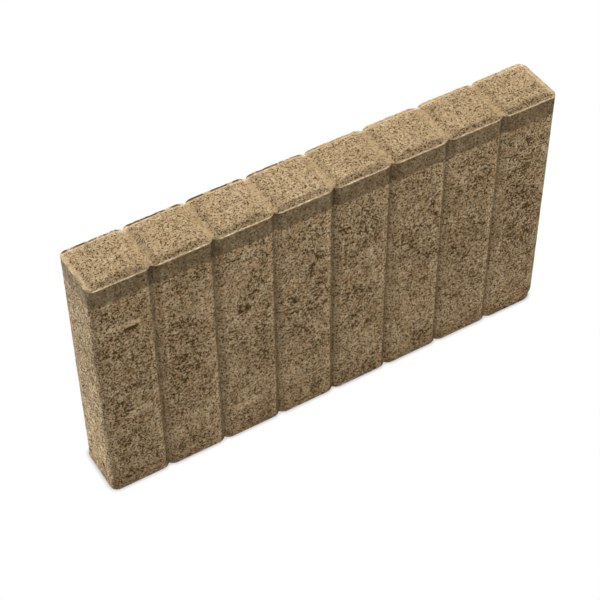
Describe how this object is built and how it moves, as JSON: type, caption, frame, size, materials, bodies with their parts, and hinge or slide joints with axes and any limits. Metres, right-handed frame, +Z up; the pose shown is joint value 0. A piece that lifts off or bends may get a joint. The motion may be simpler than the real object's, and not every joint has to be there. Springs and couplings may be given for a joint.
{
  "type": "concrete kerb stone",
  "caption": "Upright cast-concrete edging kerb with a row of shallow grooved columns on both faces, raised column caps along its top and plain butt-jointed ends.",
  "frame": {"origin": "middle of the bed, the flat underside that the stone stands on", "axes": "+X along the kerb, +Y through its thickness from front to back, +Z up from the bed to the caps"},
  "size_m": [0.5, 0.06, 0.28],
  "materials": {
    "concrete": "rough, open-textured sandy concrete"
  },
  "bodies": {
    "root": {"kerb_stone": "concrete"}
  },
  "joints": []
}
